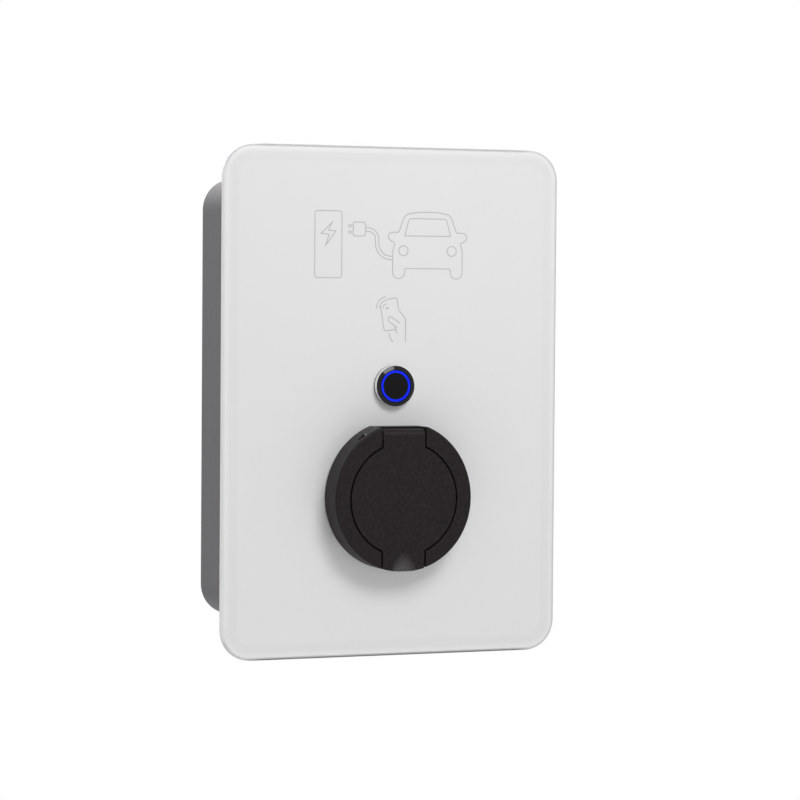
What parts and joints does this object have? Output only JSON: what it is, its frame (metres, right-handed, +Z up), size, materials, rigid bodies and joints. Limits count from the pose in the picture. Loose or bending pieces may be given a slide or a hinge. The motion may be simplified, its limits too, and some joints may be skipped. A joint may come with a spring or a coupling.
{
  "type": "electric vehicle wallbox",
  "caption": "Wall-mounted charging point with a glass front panel on a metal enclosure, a lidded round socket outlet and a ring-lit push-button.",
  "frame": {"origin": "centre of the wall fixing holes, on the enclosure's back face against the wall", "axes": "+Y into the wall, +X to the right seen from the front, +Z up"},
  "size_m": [0.225, 0.121, 0.32],
  "materials": {
    "white_glass": "gloss, white behind the glass",
    "grey_paint": "satin, fine texture",
    "black_moulding": "fine moulded grain",
    "black_gloss": "gloss",
    "black_satin": "satin",
    "blue_light": "translucent, lit",
    "black_rubber": "matte",
    "zinc_steel": "zinc plated",
    "steel": "bright",
    "contact_silver": "silver plated",
    "board_green": "solder mask",
    "relay_case": "satin",
    "module_case": "satin",
    "terminal_grey": "satin",
    "header_white": "satin",
    "can_sleeve": "gloss sleeve",
    "gland_black": "satin",
    "lead_brown": "satin",
    "lead_black": "satin",
    "lead_grey": "satin",
    "lead_blue": "satin",
    "lead_green": "satin, green with yellow stripe"
  },
  "bodies": {
    "wallbox": {"glass_panel": "white_glass", "front_carrier": "zinc_steel", "front_seal": "black_rubber", "front_screws": "steel", "enclosure_body": "grey_paint", "earth_stud": "zinc_steel", "socket_bezel": "black_moulding", "socket_neck": "black_satin", "socket_gasket": "black_rubber", "socket_ring_nut": "black_moulding", "contact_base": "black_satin", "contact_island": "black_satin", "contact_base_screws": "steel", "power_contacts": "contact_silver", "signal_contacts": "contact_silver", "hinge_pin": "steel", "lid_spring": "steel", "lock_actuator": "module_case", "button_body": "black_gloss", "button_gasket": "black_rubber", "button_nut": "zinc_steel", "button_switch": "module_case", "button_spring": "steel", "control_board": "board_green", "board_spacers": "zinc_steel", "board_screws": "steel", "power_relays": "relay_case", "power_supply": "module_case", "current_sensor": "relay_case", "capacitors": "can_sleeve", "supply_terminals": "terminal_grey", "output_terminals": "terminal_grey", "board_headers": "header_white", "radio_module": "zinc_steel", "card_reader_board": "board_green", "lead_l1": "lead_brown", "lead_l2": "lead_black", "lead_l3": "lead_grey", "lead_n": "lead_blue", "lead_pe": "lead_green", "signal_leads": "lead_black", "button_leads": "lead_grey", "reader_lead": "lead_black", "gland_body": "gland_black", "gland_locknut": "gland_black", "gland_cap": "gland_black", "gland_seal": "black_rubber"},
    "lid": {"socket_lid": "black_moulding", "lid_seal": "black_rubber"},
    "button": {"button_cap": "black_satin", "button_light_ring": "blue_light"},
    "lock": {"lock_pin": "steel"}
  },
  "joints": [
    {"name": "lid_hinge", "type": "hinge", "parent": "wallbox", "child": "lid", "pos_m": [0, -0.116, -0.0208], "axis": [-1, 0, 0], "range_deg": [0, 110], "stiffness_Nm_per_rad": 0.03, "springref_deg": -68.75, "deforming": ["lid_spring"]},
    {"name": "button_press", "type": "slide", "parent": "wallbox", "child": "button", "axis": [0, 1, 0], "range_m": [0, 0.002], "stiffness_N_per_m": 1200, "springref_m": -0.001, "deforming": ["button_spring"]},
    {"name": "lock_slide", "type": "slide", "parent": "wallbox", "child": "lock", "axis": [1, 0, 0], "range_m": [-0.006, 0]}
  ]
}
